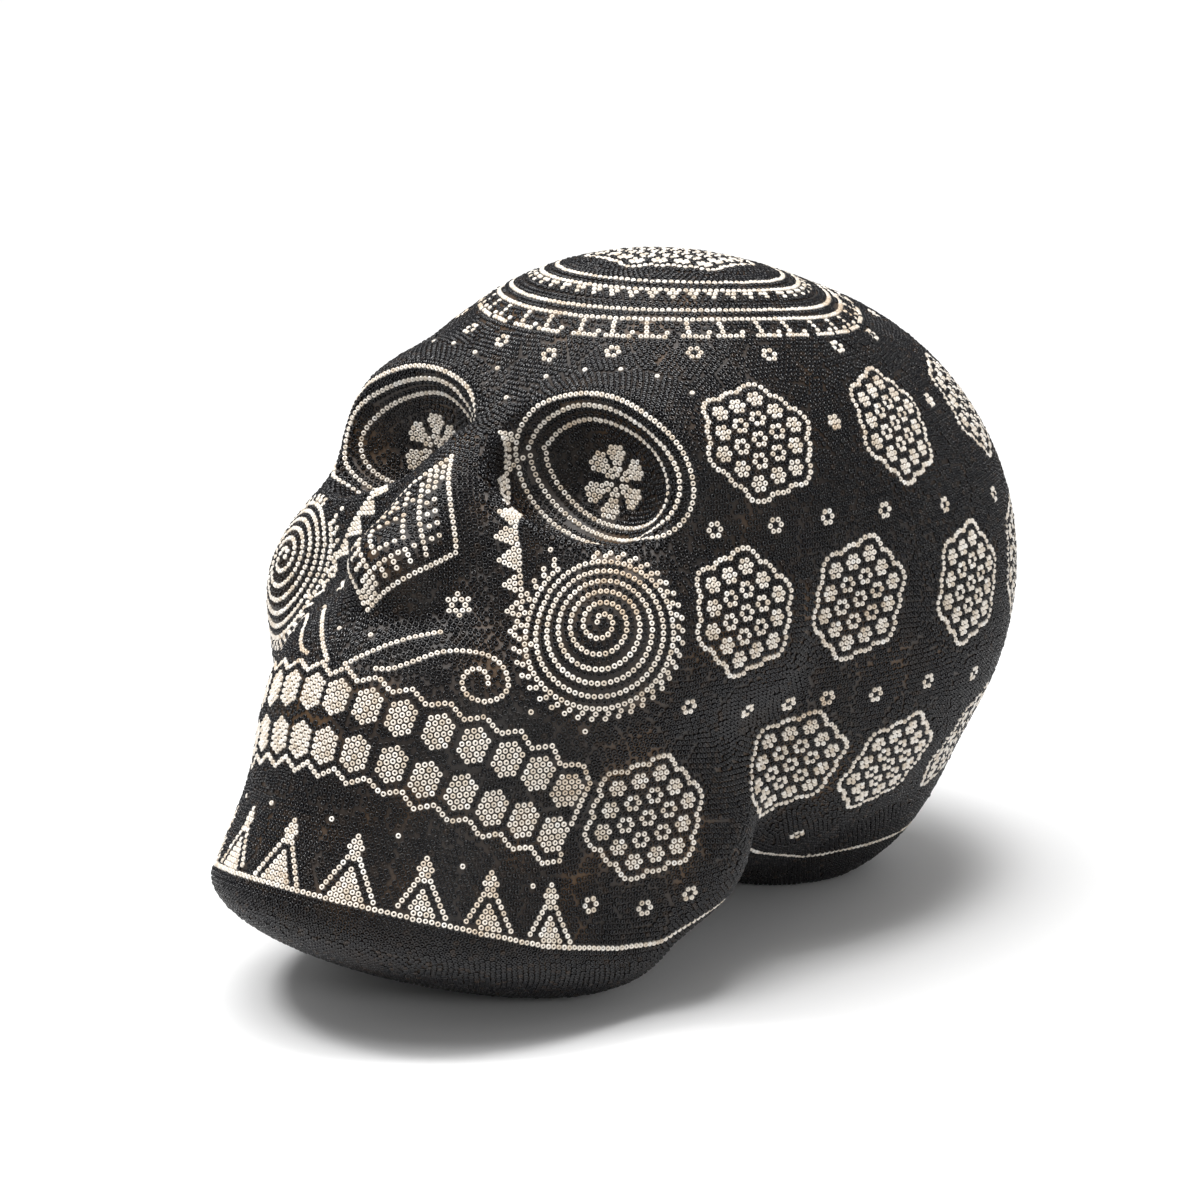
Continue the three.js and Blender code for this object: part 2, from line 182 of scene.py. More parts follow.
def rounded(points, times=3):
    """Corner cutting, which turns a few control points into a smooth line."""
    p = np.array(points, float)
    for _ in range(times):
        a, b = p[:-1] * 0.75 + p[1:] * 0.25, p[:-1] * 0.25 + p[1:] * 0.75
        p = np.vstack([p[:1], np.stack([a, b], 1).reshape(-1, p.shape[1]), p[-1:]])
    return p


def thread(line, spacing=PITCH, closed=False):
    """Beads evenly spaced along a line of points of the surface."""
    line = np.vstack([line, line[:1]]) if closed else line
    s = np.concatenate([[0], np.cumsum(np.linalg.norm(np.diff(line, axis=0), axis=1))])
    count = max(1, round(s[-1] / spacing))
    at = np.arange(count + (0 if closed else 1)) * s[-1] / count
    return settle(np.stack([np.interp(at, s, line[:, k]) for k in range(3)], 1), 2)


# ---- motifs --------------------------------------------------------------------------------
laid = []              # (CAD node, colour, points) for every group of placed beads


def put(node, points, colour="ivory"):
    laid.append((node, colour, points))


def put_both(name, points, colour="ivory", node=None):
    """The same beads on both sides of the skull."""
    for side, tag in ((1, "left"), (-1, "right")):
        put(node or name.format(tag), points * [side, 1, 1], colour)


def hexes(cells, pitch=PITCH):
    q, r = np.array(cells, float).reshape(-1, 2).T
    return np.stack([q + r / 2, r * math.sqrt(0.75)], 1) * pitch


def hex_distance(cells):
    q, r = cells[..., 0], cells[..., 1]
    return np.maximum(np.maximum(abs(q), abs(r)), abs(q + r))


def hex_disc(reach):
    side = np.arange(-reach, reach + 1)
    cells = np.stack(np.meshgrid(side, side), -1).reshape(-1, 2)
    return cells[hex_distance(cells) <= reach]


def rosette(rings):
    """Flowers of seven beads on a hexagonal net; those inside have a black middle."""
    net = hex_disc(rings)
    centres = net @ np.array([[3, 1], [-1, 4]])
    cells = hex_disc(4 * rings + 2)
    gap = hex_distance(cells[:, None] - centres[None])
    near = gap.min(1)
    eye = (near == 0) & (hex_distance(net)[gap.argmin(1)] < rings)
    return (hexes(cells[(near <= 1) & ~eye]), hexes(cells[(near == 2) | eye]),
            scallops(hexes(centres), 2.72 * PITCH))


def scallops(centres, radius):
    """The outline of equal circles round the centres, as a closed line seen from the middle."""
    a = np.linspace(0, 2 * math.pi, 720, endpoint=False)
    d = np.stack([np.cos(a), np.sin(a)], 1)
    along = d @ centres.T
    off2 = (centres**2).sum(1)[None] - along**2
    reach = np.where(off2 < radius**2, along + np.sqrt(np.maximum(radius**2 - off2, 0)), 0)
    return d * reach.max(1)[:, None]


RING = hexes(hex_disc(1)[hex_distance(hex_disc(1)) == 1])
TIPS = hexes([[1, 1], [-1, 2], [-2, 1], [-1, -1], [1, -2], [2, -1]])

ROSETTES = {
    "upper": [(91, -18, 212), (100, 53, 208), (79, 128, 202), (34, 168, 198)],
    "middle": [(105, -43, 154), (112, 16, 149), (116, 83, 143), (95, 142, 140), (42, 188, 138)],
    "lower": [(92, 2, 84), (99, 52, 76), (88, 112, 72), (42, 158, 66)],
}
JAW_ROSETTE = (88, -78, 82)
RING_FLOWERS = [
    (92, -45, 183), (102, -22, 182), (108, 1, 182), (112, 31, 180), (111, 71, 175),
    (102, 117, 170), (66, 168, 168), (14, 190, 170),
    (99, -68, 123), (98, -33, 114), (98, -8, 111), (104, 8, 111), (110, 30, 109), (114, 58, 109),
    (110, 94, 104), (88, 140, 102), (50, 170, 100),
    (78, -98, 52), (86, -77, 47), (93, -60, 50), (73, 31, 46),
]
CROWN_FLOWERS = [
    (8, -39, 236), (32, -31, 239), (57, -14, 239), (74, 9, 237), (79, 45, 236), (68, 82, 234),
    (42, 112, 229), (8, 124, 226), (-24, 120, 228), (-56, 100, 231), (-75, 66, 235),
    (-78, 26, 236), (-64, -6, 238), (-41, -28, 239), (-18, -36, 238),
]
FULL_FLOWERS = [(100, 18, 215), (92, 92, 212)]
DOTS = [
    (12, -44, 228), (27, -41, 233), (41, -37, 234), (55, -33, 233), (69, -30, 228),
    (51, -88, 177), (62, -112, 124), (77, -100, 117), (15, -166, 88), (38, -156, 84),
    (56, -142, 73), (70, -120, 63), (8, -138, 150),
]


def side_rosettes():
    ivory, black, outline = rosette(2)
    seats = [(f"rosette_{row}_{{}}_{i + 1}", c) for row in ROSETTES for i, c in
             enumerate(ROSETTES[row])]
    for name, centre in [("jaw_rosette_{}", JAW_ROSETTE), *seats]:
        put_both(name, np.vstack([lay(centre, ivory), thread(lay(centre, outline), OUTLINE_PITCH, True)]))
        put_both(name, lay(centre, black), "black", "ground_upper")


def small_flowers():
    for centre in RING_FLOWERS:
        put_both("", lay(centre, RING), node="small_flowers")
        put_both("", lay(centre, [[0, 0]]), "black", "ground_upper")
    for centre in FULL_FLOWERS:
        put_both("", lay(centre, np.vstack([RING, [[0, 0]]])), node="small_flowers")
    for centre in CROWN_FLOWERS:
        put("small_flowers", lay(centre, RING))
    put("small_flowers", settle([(0, -54, 221)]))
    for dot in DOTS:
        put_both("", settle([dot]), node="small_flowers")
    put_both("cheek_star_{}", lay((28, -112, 158), np.vstack([RING, TIPS])))


CROWN_Y = 42


def crown():
    def circle(radius, count=360):
        a = np.arange(count) * 2 * math.pi / count
        flat = np.stack([radius * np.cos(a), CROWN_Y + radius * np.sin(a), 0 * a + 300], 1)
        return cast(flat, (0, 0, -1))

    ivory, black, outline = rosette(3)
    seat, ahead = (0, CROWN_Y, 265), (-0.44, 0.9, 0)
    put("crown_rosette", lay(seat, ivory, ahead))
    put("crown_rosette", thread(lay(seat, outline, ahead), OUTLINE_PITCH, closed=True))
    put("ground_upper", lay(seat, black, ahead), "black")
    put("crown_sawtooth", thread(circle(43.6), closed=True))
    saw = thread(circle(49.6), closed=True)
    put("crown_sawtooth", saw)
    out = unit((saw - [0, CROWN_Y, 0]) * [1, 1, 0])
    along = np.stack([-out[:, 1], out[:, 0], 0 * out[:, 0]], 1)
    first, row = np.arange(0, len(saw) - 2, 3), 2.1
    bases = np.concatenate([saw[first] + along[first] * 1.2, saw[first + 1] + along[first + 1] * 1.2])
    tops = saw[first + 1]
    put("crown_sawtooth", settle(bases + row * np.tile(out[first + 1], (2, 1)) - [0, 0, 1.2]))
    put("crown_sawtooth", settle(tops + 2 * row * out[first + 1] - [0, 0, 2.4]))
    put("crown_lines", thread(circle(61.4), closed=True))
    hang = thread(circle(66.1), closed=True)
    put("crown_lines", hang)
    key = [(0, 1), (0.1, 2), (0.2, 3), (0.3, 4), (-0.7, 4), (1.3, 4), (2.3, 4), (3.3, 4), (3.6, 3)]
    frets = round(len(hang) / 5.4)
    for k in (np.arange(frets) * len(hang) / frets).astype(int):
        away = unit((hang[k] - [0, CROWN_Y, 0]) * [1, 1, 0])
        put("crown_frets", lay(hang[k], [(a * 2.25, -b * 2.25) for a, b in key], -away))


EYE_RINGS = [
    [(10, -60, 202), (11, -59, 213), (17, -54, 222), (34, -50, 227), (51, -50, 227), (67, -50, 221),
     (79, -49, 213), (86, -49, 200), (87, -53, 188), (80, -65, 180), (65, -62, 175),
     (48, -58, 173), (27, -58, 177), (14, -59, 188)],
    [(13, -57, 202), (17, -55, 213), (31, -52, 222), (47, -50, 222), (64, -50, 216), (78, -51, 208),
     (83, -53, 196), (79, -59, 185), (66, -58, 178), (50, -56, 177), (33, -54, 179),
     (19, -55, 188)],
    [(17, -54, 202), (23, -51, 211), (36, -49, 217), (53, -47, 214), (68, -48, 207), (77, -52, 196),
     (72, -55, 186), (58, -53, 180), (38, -52, 181), (23, -52, 190)],
]
PETAL = [(2.9, 1), (4.9, 2), (6.9, 2), (8.8, 3), (10.8, 4), (12.6, 3)]     # radius and beads


def eye():
    for corners in EYE_RINGS:
        line = rounded([*corners, corners[0], corners[1]])[4:-3]
        put_both("eye_rings_{}", thread(settle(line), OUTLINE_PITCH, closed=True))
    petals = []
    for a in (1.62, 0.55, -0.5, -1.6, -2.65, 2.5):
        for r, count in PETAL:
            side = (np.arange(count) - (count - 1) / 2) * 2.04
            petals += [(r * math.cos(a) - s * math.sin(a), r * math.sin(a) + s * math.cos(a))
                       for s in side]
    put_both("eye_flower_{}", lay((45, -46, 194), petals))


SPIRAL_SEAT = (78.5, -93, 156.5)


def coil(t, beyond=0.0, lean=0.0):
    """Places along the spiral after t turns, or a little outward of it."""
    r, a = 1.5 + 5.4 * t - 0.13 * t * t, math.radians(185) - 2 * math.pi * t
    x = r * np.cos(a) + beyond * np.cos(a - lean)
    return np.stack([x, r * np.sin(a) - 0.13 * r + beyond * np.sin(a - lean)], 1)


def spiral():
    put_both("cheek_spiral_{}", thread(lay(SPIRAL_SEAT, coil(np.linspace(0, 6.15, 1000))), OUTLINE_PITCH))
    t = np.arange(5.22, 6.15, 1 / 39)
    ticks = np.vstack([coil(t, 2.3, 0.5), coil(t, 4.5, 0.6)])
    put_both("cheek_spiral_{}", lay(SPIRAL_SEAT, ticks))


def hanging_triangle(rows, pitch=2.3, first=1):
    """Rows of beads stacked outward from a line, one fewer in each."""
    return [((i - (n - 1) / 2) * pitch, (k + first) * 0.866 * pitch)
            for k, n in enumerate(rows) for i in range(n)]


def ribbon():
    line = rounded([(8, -66, 211), (8, -64, 202), (9, -64, 193), (13, -67, 187), (23, -77, 185),
                    (33, -87, 183), (40, -93, 177), (43, -97, 169), (46, -99, 160),
                    (50, -102, 152), (57, -105, 144), (63, -105, 138)])
    beads = thread(settle(line), OUTLINE_PITCH)
    put_both("ribbon_{}", beads)
    step = 8.7 / OUTLINE_PITCH
    for k in range(12):
        i = round(1.5 + k * step)
        if i + 1 >= len(beads):
            break
        ahead = unit(beads[i + 1] - beads[i - 1])
        n = probe(beads[i:i + 1])[1][0]
        out = np.cross(n, ahead)
        out = out * (-1 if out[0] > 0 else 1)
        rows = (4, 3, 2, 1) if k < 9 else (3, 2, 1)
        put_both("ribbon_{}", lay(beads[i], hanging_triangle(rows, 2.06), out))


def diamond():
    top, right, bottom = (np.array(p, float) for p in ((0, -84, 204), (21, -105, 175),
                                                       (0, -133, 155)))
    left = right * [-1, 1, 1]

    def place(cells):
        s, t = np.array(cells, float).T[:, :, None] / 16
        flat = ((1 - s) * (1 - t) * top + s * (1 - t) * left + (1 - s) * t * right
                + s * t * bottom)
        turn = np.clip(flat[:, 0] / 22, -1, 1)
        way = unit(np.stack([-0.62 * turn, 0 * turn + 0.74, 0 * turn - 0.24], 1))
        return cast(flat - way * 40, way)

    cells = set()
    for lo, hi in ((4, 12), (6, 10)):
        span = range(lo, hi + 1)
        cells |= {(a, b) for a in span for b in span if a in (lo, hi) or b in (lo, hi)}
    for k in range(4, 13, 2):
        for tip in (2, 3):
            cells |= {(tip, k), (16 - tip, k), (k, tip), (k, 16 - tip)}
    cells |= {(a, b) for a in (1, 2, 3) for b in (1, 2, 3)}
    cells |= {(a, b) for a in (13, 14, 15) for b in (13, 14, 15)}
    edge = np.linspace(0, 16, 60)
    rim = [*[(0, t) for t in edge], *[(t, 16) for t in edge], *[(16, 16 - t) for t in edge],
           *[(16 - t, 0) for t in edge]]
    put("nose_diamond", thread(place(rim)[:-1], OUTLINE_PITCH, closed=True))
    put("nose_diamond", place(sorted(cells)))


def moustache():
    high = [(3, -148, 138), (7, -145, 141), (11, -142, 143), (16, -137, 146), (22, -131, 149),
            (29, -123, 151)]
    low = [(17, -144, 139), (22, -142, 139), (28, -136, 142), (33, -128, 145), (39, -121, 145),
           (47, -114, 143), (53, -113, 136), (55, -117, 130), (51, -124, 128), (46, -129, 131),
           (42, -127, 136), (44, -122, 140), (48, -119, 138), (49, -120, 134)]
    for line in (high, low):
        put_both("moustache_scroll_{}", thread(settle(rounded(line)), 2.3))


# Middles of the teeth, from the midline back.
UPPER_TEETH = [(6, -154, 129), (19, -151, 127), (31.5, -147, 124), (43, -140, 119.5),
               (52, -131, 114), (59, -121, 108), (66, -112.5, 102), (72, -104, 95)]
LOWER_TEETH = [(6, -160, 112), (19, -158, 111), (31.5, -152, 108), (42, -146, 103),
               (51, -137, 98), (58, -128, 91.5), (64.5, -118.5, 86), (70.5, -109, 79.5)]
TOOTH_UP = (0.0, 0.56, 0.83)


def teeth():
    tooth = [(c * 2.1, (k - (n - 1) / 2) * 2.42) for c, n in zip(range(-2, 3), (4, 5, 6, 5, 4))
             for k in range(n)]
    ends = []
    for name, middles, sign in (("teeth_upper_{}", UPPER_TEETH, 1),
                                ("teeth_lower_{}", LOWER_TEETH, -1)):
        for middle in middles:
            put_both(name, lay(middle, tooth, TOOTH_UP))
        row = np.array(middles, float)
        first, last = row[0] * [0, 1, 1], row[-1] * 1.5 - row[-2] * 0.5
        valleys = np.vstack([first, (row[1:] + row[:-1]) / 2, last])
        rise = np.array(TOOTH_UP) * sign
        zigzag = np.empty((2 * len(row) + 1, 3))
        zigzag[::2] = settle(valleys + 7.4 * rise)
        zigzag[1::2] = np.vstack([lay(p, [(0, 11.2 * sign)], TOOTH_UP) for p in row])
        fine = np.vstack([np.linspace(p, q, 9)[:-1] for p, q in zip(zigzag, zigzag[1:])])
        beads = thread(settle(np.vstack([fine, zigzag[-1:]])), 2.4)
        put_both(name, beads[1:])
        put(name.format("left"), beads[:1])
        ends.append(beads[-1])
    put_both("teeth_lower_{}", thread(settle(np.linspace(*ends, 30)), 2.4)[1:-1])


BASE_LINE = [(-260, 95), (-181, 64.5), (-142, 50), (-121, 42), (-88, 34), (-65, 31), (-45, 37),
             (-20, 43), (4, 47), (26, 37), (60, 26), (300, 20)]
JAW_TRIANGLES = [(0, -181, 65), (28, -175, 63), (51, -159, 57), (66, -141, 50), (76, -120, 42)]


def base_line():
    ys, zs = np.array(BASE_LINE, float).T
    a = np.linspace(0, 2 * math.pi, 1200, endpoint=False)
    low, high = np.zeros(len(a)), np.full(len(a), 240.0)

    def at(r):
        y = -r * np.cos(a)
        return np.stack([r * np.sin(a), y, np.interp(y, ys, zs)], 1)

    for r in np.arange(30.0, 241.0, 3.0):
        low = np.where(skull(at(np.full(len(a), r))) < 0, r, low)
    high = low + 3
    for _ in range(12):
        mid = (low + high) / 2
        inside = skull(at(mid)) < 0
        low, high = np.where(inside, mid, low), np.where(inside, high, mid)
    line = at(low)
    beads = thread(line, 2.3, closed=True)
    put("base_line", beads)
    for k, seat in enumerate(JAW_TRIANGLES):
        base = beads[np.linalg.norm(beads - seat, axis=1).argmin()]
        points = lay(base, jaw_triangle(6 if k < 2 else 5), (0, 0.25, 1))
        if seat[0]:
            put_both("", points, node="base_line")
        else:
            put("base_line", points)


def jaw_triangle(rows, pitch=2.3):
    """A solid triangle under a chevron that carries a small diamond on its point."""
    cells = [((i - (n - 1) / 2), rows - n + 1) for n in range(1, rows + 1) for i in range(n)]
    top = rows + 4
    cells += [(side * (top - k) / 2, k) for k in range(1, top + 1) for side in (-1, 1)]
    cells += [(0, top - 2), (-1, top), (1, top), (-0.5, top + 1), (0.5, top + 1), (0, top + 2)]
    return [(x * pitch, y * 0.866 * pitch) for x, y in dict.fromkeys(cells)]


# ---- black ground --------------------------------------------------------------------------
def close_pairs(a, b, reach):
    """Index pairs of points of a and b nearer than the reach."""
    if not len(a) or not len(b):
        return np.zeros((2, 0), int)
    low = np.minimum(a.min(0), b.min(0)) - 2 * reach
    ca, cb = ((np.floor((p - low) / reach)).astype(np.int64) for p in (a, b))
    size = np.maximum(ca.max(0), cb.max(0)) + 3

    def key(c):
        return (c[:, 0] * size[1] + c[:, 1]) * size[2] + c[:, 2]

    order = np.argsort(key(cb), kind="stable")
    keys = key(cb)[order]
    left, right = [], []
    for dx in (-1, 0, 1):
        for dy in (-1, 0, 1):
            lo = np.searchsorted(keys, key(ca + [dx, dy, -1]), "left")
            hi = np.searchsorted(keys, key(ca + [dx, dy, 1]), "right")
            count = hi - lo
            i = np.repeat(np.arange(len(a)), count)
            start = np.repeat(lo - np.concatenate([[0], np.cumsum(count)[:-1]]), count)
            j = order[start + np.arange(len(i))]
            near = ((a[i] - b[j]) ** 2).sum(1) < reach * reach
            left.append(i[near])
            right.append(j[near])
    return np.concatenate(left), np.concatenate(right)


class Bins:
    """Points sorted into small boxes, to refuse a new one that is too near an old one."""

    def __init__(self, gap):
        self.gap = gap
        self.box = {}

    def add(self, p):
        g = self.gap
        self.box.setdefault((int(p[0] // g), int(p[1] // g), int(p[2] // g)), []).append(p)

    def free(self, p):
        g, limit = self.gap, self.gap * self.gap
        cx, cy, cz = int(p[0] // g), int(p[1] // g), int(p[2] // g)
        for x in (cx, cx - 1, cx + 1):
            for y in (cy, cy - 1, cy + 1):
                for z in (cz, cz - 1, cz + 1):
                    for q in self.box.get((x, y, z), ()):
                        d = (p[0] - q[0]) ** 2 + (p[1] - q[1]) ** 2 + (p[2] - q[2]) ** 2
                        if d < limit:
                            return False
        return True


def apexes(points, normals, front, reach):
    """Places that touch two neighbouring beads, at least one of them in the front."""
    i, j = close_pairs(points[front], points, reach)
    i = front[i]
    once = (i < j) | (j < front[0])
    i, j = i[once], j[once]
    mid, gap = (points[i] + points[j]) / 2, points[j] - points[i]
    long = np.linalg.norm(gap, axis=1)
    out = unit(np.cross(normals[i] + normals[j], gap))
    rise = np.sqrt(np.maximum(FILL_PITCH**2 - long**2 / 4, 0.3))[:, None]
    made = np.concatenate([mid + out * rise, mid - out * rise])
    return made, np.tile(abs(long - FILL_PITCH), 2)


def grow(points, gap, reach):
    """Adds beads row by row outward from those laid, until no place is left."""
    points = points.copy()
    normals = probe(points)[1]
    bins = Bins(gap)
    for p in points.tolist():
        bins.add(p)
    front = np.arange(len(points))
    while len(front):
        made, fault = apexes(points, normals, front, reach)
        if not len(made):
            break
        crowded = np.zeros(len(made), bool)
        crowded[close_pairs(made, points, gap * 0.96)[0]] = True
        made, fault = settle(made[~crowded], 1), fault[~crowded]
        new = []
        for p in made[np.argsort(fault, kind="stable")].tolist():
            if bins.free(p):
                bins.add(p)
                new.append(p)
        if not new:
            break
        new = np.array(new)
        front = np.arange(len(points), len(points) + len(new))
        points = np.vstack([points, new])
        normals = np.vstack([normals, probe(new)[1]])
    return points


def relax(points, weight, rounds):
    """Pushes crowded neighbours apart; the placed motifs hardly give way."""
    for _ in range(rounds):
        i, j = close_pairs(points, points, FILL_PITCH * 1.02)
        other = i != j
        i, j = i[other], j[other]
        gap = points[i] - points[j]
        long = np.maximum(np.linalg.norm(gap, axis=1), 1e-6)
        push = gap * ((FILL_PITCH * 1.02 - long) / long * 0.42)[:, None]
        share = (weight[i] / (weight[i] + weight[j]))[:, None]
        move = np.stack([np.bincount(i, (push * share)[:, k], len(points)) for k in range(3)], 1)
        points = points + move
        f, n = probe(points)
        points = points - n * f[:, None]
    return points


def unclashed(groups, gap):
    """Drops a placed bead that would sit on one laid before it."""
    bins = Bins(gap)
    kept = []
    for node, colour, points in groups:
        mine = []
        for p in points.tolist():
            if bins.free(p):
                bins.add(p)
                mine.append(p)
        if mine:
            kept.append((node, colour, np.array(mine)))
    return kept


# ---- meshes --------------------------------------------------------------------------------
def in_frame(points):
    return (points - [0, LENGTH_CENTRE, FLOOR]) / 1000


def mesh_object(name, verts, quads, material, smooth=True):
    mesh = bpy.data.meshes.new(name)
    mesh.vertices.add(len(verts))
    mesh.vertices.foreach_set("co", np.ascontiguousarray(verts, np.float32).ravel())
    mesh.loops.add(quads.size)
    mesh.loops.foreach_set("vertex_index", np.ascontiguousarray(quads, np.int32).ravel())
    mesh.polygons.add(len(quads))
    mesh.polygons.foreach_set("loop_start", np.arange(len(quads), dtype=np.int32) * 4)
    mesh.update(calc_edges=True)
    mesh.polygons.foreach_set("use_smooth", np.full(len(quads), smooth))
    mesh.materials.append(material)
    obj = bpy.data.objects.new(name, mesh)
    bpy.context.scene.collection.objects.link(obj)
    return obj


def ride(obj, slot, *nodes):
    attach(obj, "root")
    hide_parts(*nodes)


def bead_shape(profile, sides):
    """One bead standing on z = 0: a ring of the profile's radii and heights."""
    r, h = np.array(profile).T
    a = (np.arange(sides) + 0.5) * 2 * math.pi / sides
    verts = np.stack([np.outer(np.cos(a), r), np.outer(np.sin(a), r),
                      np.tile(h, (sides, 1))], -1).reshape(-1, 3)
    m = len(profile)
    k, j = (g.ravel() for g in np.meshgrid(np.arange(sides), np.arange(m), indexing="ij"))
    k2, j2 = (k + 1) % sides, (j + 1) % m
    return verts, np.stack([k * m + j, k2 * m + j, k2 * m + j2, k * m + j2], 1)


def bead_field(name, points, shape, size, tilt, material):
    """All the beads of one piece as one mesh, each set on the surface with a little play."""
    verts, quads = shape
    count = len(points)
    f, n = probe(points)
    axis = unit(n + rng.normal(0, tilt, (count, 3)))
    side = unit(np.cross(axis, unit(rng.normal(0, 1, (count, 3)))))
    third = np.cross(axis, side)
    wide = size * rng.normal(1, 0.025, count)[:, None, None]
    tall = rng.normal(1, 0.05, count)[:, None, None]
    foot = (points - n * (HEIGHT + rng.normal(0, 0.07, count))[:, None])[:, None]
    world = foot + (verts[None, :, :1] * side[:, None] + verts[None, :, 1:2] * third[:, None]) \
        * wide + verts[None, :, 2:] * tall * axis[:, None]
    world[..., 2] = np.maximum(world[..., 2], FLOOR)
    faces = (np.arange(count) * len(verts))[:, None, None] + quads[None]
    return mesh_object(name, in_frame(world.reshape(-1, 3)), faces.reshape(-1, 4), material)


def split(points, limit):
    """Cuts a group of beads into compact parts of no more than the limit."""
    if len(points) <= limit:
        return [points]
    axis = np.ptp(points, axis=0).argmax()
    order = np.argsort(points[:, axis], kind="stable")
    half = len(points) // 2
    return split(points[order[:half]], limit) + split(points[order[half:]], limit)


def surface_net(step, inset):
    """A closed mesh of quads on the surface that lies the inset under the finished one."""
    axes = [np.arange(a, b + step, step) for a, b in zip(LOW, HIGH)]
    shape = tuple(len(a) for a in axes)
    grid = np.stack(np.meshgrid(*axes, indexing="ij"), -1).reshape(-1, 3)
    inside = (skull(grid) + inset < 0).reshape(shape)
    cells = np.zeros(tuple(s - 1 for s in shape), int)
    for corner in np.ndindex(2, 2, 2):
        part = tuple(slice(c, c + s - 1) for c, s in zip(corner, shape))
        cells += inside[part]
    mixed = (cells > 0) & (cells < 8)
    number = np.full(mixed.shape, -1)
    number[mixed] = np.arange(mixed.sum())
    middle = (np.argwhere(mixed) + 0.5) * step + LOW
    quads = []
    for axis in range(3):
        b, c = [k for k in range(3) if k != axis]
        ahead = np.take(inside, np.arange(1, shape[axis]), axis)
        here = np.take(inside, np.arange(shape[axis] - 1), axis)
        for rising in (True, False):
            edge = np.argwhere((ahead & ~here) if rising else (here & ~ahead))
            ring = []
            for db, dc in ((0, 0), (1, 0), (1, 1), (0, 1)):
                cell = edge.copy()
                cell[:, b] -= db
                cell[:, c] -= dc
                ring.append(number[tuple(cell.T)])
            flip = rising == (axis != 1)
            quads.append(np.stack(ring[::-1] if flip else ring, 1))
    quads = np.concatenate(quads)
    for _ in range(4):
        f, n = probe(middle)
        middle = middle - n * (f + inset)[:, None]
    return evened(middle, quads, inset), quads


def evened(points, quads, inset):
    """Evens out the net on its own surface."""
    for _ in range(3):
        total, count = np.zeros_like(points), np.zeros(len(points))
        for k in range(4):
            a, b = quads[:, k], quads[:, (k + 1) % 4]
            for one, other in ((a, b), (b, a)):
                for axis in range(3):
                    total[:, axis] += np.bincount(one, points[other, axis], len(points))
                count += np.bincount(one, minlength=len(points))
        points = points * 0.4 + 0.6 * total / count[:, None]
        f, n = probe(points)
        points = points - n * (f + inset)[:, None]
    return points


def shell(name, step, outer, inner, material):
    """The layer between two depths, with a round vent in the underside."""
    points, quads = surface_net(step, outer)
    centre = np.array([0, VENT_Y])
    off = points[:, :2] - centre
    far = np.linalg.norm(off, axis=1)
    gone = (far < VENT_RADIUS) & (points[:, 2] < 80)
    quads = quads[~gone[quads].any(1)]
    edges = np.concatenate([quads[:, [k, (k + 1) % 4]] for k in range(4)])
    code = edges[:, 0] * len(points) + edges[:, 1]
    back = edges[:, 1] * len(points) + edges[:, 0]
    rim = edges[~np.isin(code, back)]
    edge = np.unique(rim)
    points[edge, :2] = centre + off[edge] * (VENT_RADIUS / far[edge])[:, None]
    f, n = probe(points)
    within = points - n * (inner - outer)
    both = np.vstack([points, within])
    count = len(points)
    wall = np.stack([rim[:, 1], rim[:, 0], rim[:, 0] + count, rim[:, 1] + count], 1)
    quads = np.vstack([quads, quads[:, ::-1] + count, wall])
    used, quads = np.unique(quads, return_inverse=True)
    return mesh_object(name, in_frame(both[used]), quads.reshape(-1, 4), material)


# ---- materials -----------------------------------------------------------------------------
class Nodes:
    """A short way to write a node material."""

    def __init__(self, name, **values):
        self.material = bpy.data.materials.new(name)
        self.material.use_nodes = True
        self.tree = self.material.node_tree
        self.shader = self.tree.nodes["Principled BSDF"]
        for key, value in values.items():
            self.shader.inputs[key.replace("_", " ")].default_value = value

    def add(self, kind, settings=None, **inputs):
        node = self.tree.nodes.new("ShaderNode" + kind)
        for key, value in (settings or {}).items():
            setattr(node, key, value)
        for key, value in inputs.items():
            socket = node.inputs[key.replace("_", " ")]
            if isinstance(value, bpy.types.NodeSocket):
                self.tree.links.new(value, socket)
            else:
                socket.default_value = value
        return node

    def ramp(self, factor, stops):
        node = self.add("ValToRGB", Fac=factor)
        elements = node.color_ramp.elements
        while len(elements) < len(stops):
            elements.new(0.5)
        for element, (place, colour) in zip(elements, stops):
            element.position = place
            element.color = (*colour, 1)
        return node.outputs["Color"]

    def mix(self, factor, a, b):
        node = self.add("Mix", {"data_type": "RGBA"})
        self.tree.links.new(factor, node.inputs[0])
        self.tree.links.new(a, node.inputs[6])
        self.tree.links.new(b, node.inputs[7])
        return node.outputs[2]

    def noise(self, scale, detail=3.0, coordinate="Object"):
        place = self.add("TexCoord").outputs[coordinate]
        return self.add("TexNoise", Vector=place, Scale=scale, Detail=detail).outputs["Fac"]

    def to(self, socket, value):
        self.tree.links.new(value, self.shader.inputs[socket])


def ivory_glass():
    m = Nodes("ivory_glass_beads", Roughness=0.22, IOR=1.5, Coat_Weight=0.4, Coat_Roughness=0.08)
    each = m.add("NewGeometry").outputs["Random Per Island"]
    tint = m.ramp(each, [(0.0, (0.62, 0.53, 0.42)), (0.3, (0.76, 0.69, 0.60)),
                         (0.8, (0.84, 0.78, 0.70)), (1.0, (0.88, 0.85, 0.80))])
    stain = m.ramp(m.noise(26.0), [(0.56, (0, 0, 0)), (0.72, (0.55, 0.55, 0.55))])
    amber = m.ramp(each, [(0.0, (0.40, 0.24, 0.10)), (1.0, (0.62, 0.45, 0.26))])
    m.to("Base Color", m.mix(stain, tint, amber))
    return m.material


